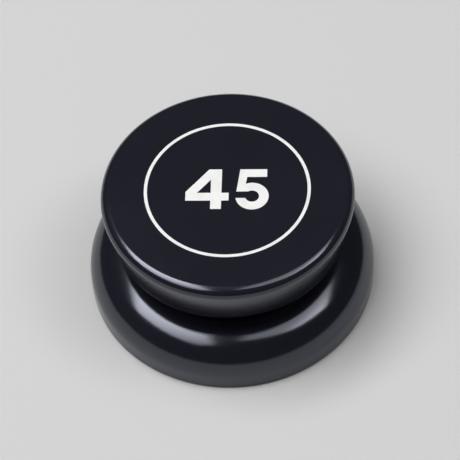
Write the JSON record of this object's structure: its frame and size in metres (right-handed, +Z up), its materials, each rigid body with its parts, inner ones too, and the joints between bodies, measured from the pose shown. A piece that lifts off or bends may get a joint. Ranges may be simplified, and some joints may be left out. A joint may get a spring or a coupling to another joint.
{
  "type": "record spindle adapter",
  "caption": "Turned metal puck that drops over a turntable spindle and fills the large centre hole of a 45 rpm record, with a grooved waist for lifting it off",
  "frame": {"origin": "centre of the underside, on the surface that the adapter stands on", "axes": "+Z up along the spindle; +Y away from the reader of the printed numerals, +X to the reader's right"},
  "size_m": [0.038, 0.038, 0.018],
  "materials": {
    "anodised_aluminium": "satin black anodised",
    "brass": "turned, bare",
    "white_print": "screen print"
  },
  "bodies": {
    "root": {"body": "anodised_aluminium", "brass_core": "brass"}
  },
  "joints": []
}
